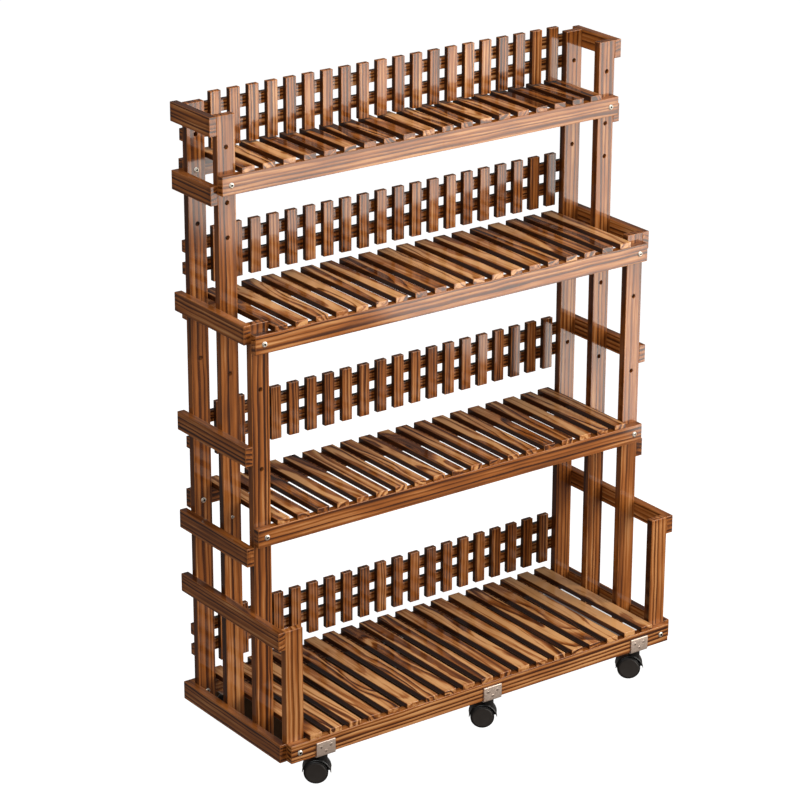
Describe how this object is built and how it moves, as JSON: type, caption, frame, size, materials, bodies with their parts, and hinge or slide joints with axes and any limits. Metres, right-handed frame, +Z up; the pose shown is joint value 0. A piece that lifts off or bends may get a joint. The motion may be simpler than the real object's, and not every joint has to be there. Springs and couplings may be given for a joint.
{
  "type": "flower cart stand",
  "caption": "Stepped wooden plant stand with slatted shelves, picket-fence backs and boarded end frames, rolling on swivel casters.",
  "frame": {"origin": "on the floor, under the middle of the stand's width and depth, where the casters stand", "axes": "+Z up, +X along the shelves to the right as seen from the front, +Y from the low front tier to the tall rear posts"},
  "size_m": [0.827, 0.3206, 1.112],
  "materials": {
    "post_wood": "charred softwood with dark grain lines under semi-gloss varnish",
    "rail_wood": "charred softwood with dark grain lines under semi-gloss varnish",
    "slat_wood": "charred softwood, slats differ in colour, semi-gloss varnish",
    "fence_wood": "charred softwood, pickets differ in colour, semi-gloss varnish",
    "plate_steel": "zinc-plated pressed steel, satin",
    "caster_plastic": "black moulded plastic, glossy",
    "wheel_plastic": "dark grey moulded plastic, satin"
  },
  "bodies": {
    "stand": {"left_front_post": "post_wood", "left_middle_post": "post_wood", "left_upper_post": "post_wood", "left_rear_post": "post_wood", "left_side_rail_1": "rail_wood", "left_side_rail_2": "rail_wood", "left_side_rail_3": "rail_wood", "left_side_rail_4": "rail_wood", "left_side_rail_5": "rail_wood", "left_side_rail_6": "rail_wood", "left_side_rail_7": "rail_wood", "right_front_post": "post_wood", "right_middle_post": "post_wood", "right_upper_post": "post_wood", "right_rear_post": "post_wood", "right_side_rail_1": "rail_wood", "right_side_rail_2": "rail_wood", "right_side_rail_3": "rail_wood", "right_side_rail_4": "rail_wood", "right_side_rail_5": "rail_wood", "right_side_rail_6": "rail_wood", "right_side_rail_7": "rail_wood", "tier_1_front_rail": "rail_wood", "tier_1_slat_deck": "slat_wood", "tier_1_picket_fence": "fence_wood", "tier_2_front_rail": "rail_wood", "tier_2_slat_deck": "slat_wood", "tier_2_picket_fence": "fence_wood", "tier_3_front_rail": "rail_wood", "tier_3_slat_deck": "slat_wood", "tier_3_picket_fence": "fence_wood", "tier_4_front_rail": "rail_wood", "tier_4_slat_deck": "slat_wood", "tier_4_picket_fence": "fence_wood", "front_left_caster_plate": "plate_steel", "front_middle_caster_plate": "plate_steel", "front_right_caster_plate": "plate_steel", "rear_left_caster_plate": "plate_steel", "rear_middle_caster_plate": "plate_steel", "rear_right_caster_plate": "plate_steel"},
    "front_left_swivel": {"front_left_caster_hood": "caster_plastic"},
    "front_left_wheel_1": {"front_left_caster_wheel_1": "wheel_plastic"},
    "front_left_wheel_2": {"front_left_caster_wheel_2": "wheel_plastic"},
    "front_middle_swivel": {"front_middle_caster_hood": "caster_plastic"},
    "front_middle_wheel_1": {"front_middle_caster_wheel_1": "wheel_plastic"},
    "front_middle_wheel_2": {"front_middle_caster_wheel_2": "wheel_plastic"},
    "front_right_swivel": {"front_right_caster_hood": "caster_plastic"},
    "front_right_wheel_1": {"front_right_caster_wheel_1": "wheel_plastic"},
    "front_right_wheel_2": {"front_right_caster_wheel_2": "wheel_plastic"},
    "rear_left_swivel": {"rear_left_caster_hood": "caster_plastic"},
    "rear_left_wheel_1": {"rear_left_caster_wheel_1": "wheel_plastic"},
    "rear_left_wheel_2": {"rear_left_caster_wheel_2": "wheel_plastic"},
    "rear_middle_swivel": {"rear_middle_caster_hood": "caster_plastic"},
    "rear_middle_wheel_1": {"rear_middle_caster_wheel_1": "wheel_plastic"},
    "rear_middle_wheel_2": {"rear_middle_caster_wheel_2": "wheel_plastic"},
    "rear_right_swivel": {"rear_right_caster_hood": "caster_plastic"},
    "rear_right_wheel_1": {"rear_right_caster_wheel_1": "wheel_plastic"},
    "rear_right_wheel_2": {"rear_right_caster_wheel_2": "wheel_plastic"}
  },
  "joints": [
    {"name": "front_left_swivel_turn", "type": "hinge", "parent": "stand", "child": "front_left_swivel", "pos_m": [-0.333, -0.14025, 0.0525], "axis": [0, 0, 1], "continuous": true},
    {"name": "front_left_wheel_1_spin", "type": "hinge", "parent": "front_left_swivel", "child": "front_left_wheel_1", "pos_m": [-0.34028, -0.13496, 0.0205], "axis": [0.5878, 0.809, 0], "continuous": true},
    {"name": "front_left_wheel_2_spin", "type": "hinge", "parent": "front_left_swivel", "child": "front_left_wheel_2", "pos_m": [-0.34028, -0.13496, 0.0205], "axis": [0.5878, 0.809, 0], "continuous": true},
    {"name": "front_middle_swivel_turn", "type": "hinge", "parent": "stand", "child": "front_middle_swivel", "pos_m": [0.01, -0.14025, 0.0525], "axis": [0, 0, 1], "continuous": true},
    {"name": "front_middle_wheel_1_spin", "type": "hinge", "parent": "front_middle_swivel", "child": "front_middle_wheel_1", "pos_m": [0.00272, -0.13496, 0.0205], "axis": [0.5878, 0.809, 0], "continuous": true},
    {"name": "front_middle_wheel_2_spin", "type": "hinge", "parent": "front_middle_swivel", "child": "front_middle_wheel_2", "pos_m": [0.00272, -0.13496, 0.0205], "axis": [0.5878, 0.809, 0], "continuous": true},
    {"name": "front_right_swivel_turn", "type": "hinge", "parent": "stand", "child": "front_right_swivel", "pos_m": [0.333, -0.14025, 0.0525], "axis": [0, 0, 1], "continuous": true},
    {"name": "front_right_wheel_1_spin", "type": "hinge", "parent": "front_right_swivel", "child": "front_right_wheel_1", "pos_m": [0.32572, -0.13496, 0.0205], "axis": [0.5878, 0.809, 0], "continuous": true},
    {"name": "front_right_wheel_2_spin", "type": "hinge", "parent": "front_right_swivel", "child": "front_right_wheel_2", "pos_m": [0.32572, -0.13496, 0.0205], "axis": [0.5878, 0.809, 0], "continuous": true},
    {"name": "rear_left_swivel_turn", "type": "hinge", "parent": "stand", "child": "rear_left_swivel", "pos_m": [-0.333, 0.14025, 0.0525], "axis": [0, 0, 1], "continuous": true},
    {"name": "rear_left_wheel_1_spin", "type": "hinge", "parent": "rear_left_swivel", "child": "rear_left_wheel_1", "pos_m": [-0.34028, 0.13496, 0.0205], "axis": [-0.5878, 0.809, 0], "continuous": true},
    {"name": "rear_left_wheel_2_spin", "type": "hinge", "parent": "rear_left_swivel", "child": "rear_left_wheel_2", "pos_m": [-0.34028, 0.13496, 0.0205], "axis": [-0.5878, 0.809, 0], "continuous": true},
    {"name": "rear_middle_swivel_turn", "type": "hinge", "parent": "stand", "child": "rear_middle_swivel", "pos_m": [0.01, 0.14025, 0.0525], "axis": [0, 0, 1], "continuous": true},
    {"name": "rear_middle_wheel_1_spin", "type": "hinge", "parent": "rear_middle_swivel", "child": "rear_middle_wheel_1", "pos_m": [0.00272, 0.13496, 0.0205], "axis": [-0.5878, 0.809, 0], "continuous": true},
    {"name": "rear_middle_wheel_2_spin", "type": "hinge", "parent": "rear_middle_swivel", "child": "rear_middle_wheel_2", "pos_m": [0.00272, 0.13496, 0.0205], "axis": [-0.5878, 0.809, 0], "continuous": true},
    {"name": "rear_right_swivel_turn", "type": "hinge", "parent": "stand", "child": "rear_right_swivel", "pos_m": [0.333, 0.14025, 0.0525], "axis": [0, 0, 1], "continuous": true},
    {"name": "rear_right_wheel_1_spin", "type": "hinge", "parent": "rear_right_swivel", "child": "rear_right_wheel_1", "pos_m": [0.32572, 0.13496, 0.0205], "axis": [-0.5878, 0.809, 0], "continuous": true},
    {"name": "rear_right_wheel_2_spin", "type": "hinge", "parent": "rear_right_swivel", "child": "rear_right_wheel_2", "pos_m": [0.32572, 0.13496, 0.0205], "axis": [-0.5878, 0.809, 0], "continuous": true}
  ]
}
